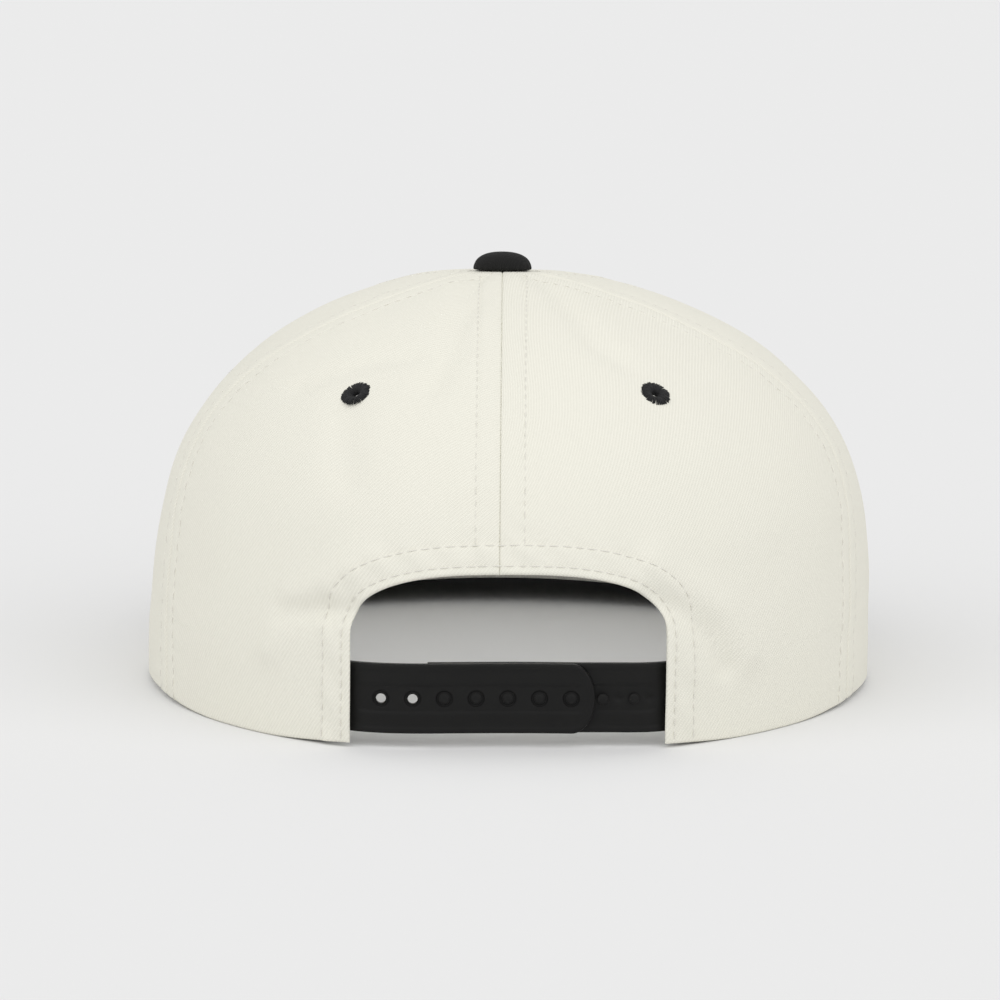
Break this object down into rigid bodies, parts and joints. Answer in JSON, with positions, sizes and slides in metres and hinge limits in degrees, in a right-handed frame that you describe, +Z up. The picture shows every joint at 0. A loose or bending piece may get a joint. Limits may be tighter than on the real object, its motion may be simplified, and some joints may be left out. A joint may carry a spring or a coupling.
{
  "type": "snapback cap",
  "caption": "Six-panel cap with a flat peak, a covered top button, stitched eyelets and an arched rear opening closed by a snap strap.",
  "frame": {"origin": "under the middle of the whole cap, peak included, on the surface that it rests on", "axes": "+Z up, +Y towards the peak, +X to the wearer's right; the rear opening faces -Y"},
  "size_m": [0.1838, 0.2612, 0.1077],
  "materials": {
    "twill": "off-white cotton twill, matt",
    "black_twill": "black cotton twill, matt",
    "black_thread": "black embroidery thread",
    "band_cloth": "off-white cotton band, matt",
    "strap_plastic": "black moulded plastic, satin"
  },
  "bodies": {
    "root": {"back_panel_left": "twill", "back_panel_right": "twill", "side_panel_left": "twill", "side_panel_right": "twill", "front_panel_left": "twill", "front_panel_right": "twill", "eyelet_back_left": "black_thread", "eyelet_back_right": "black_thread", "eyelet_side_left": "black_thread", "eyelet_side_right": "black_thread", "eyelet_front_left": "black_thread", "eyelet_front_right": "black_thread", "button": "black_twill", "peak": "black_twill", "sweatband": "band_cloth", "snap_strap_outer": "strap_plastic", "snap_strap_inner": "strap_plastic"}
  },
  "joints": []
}
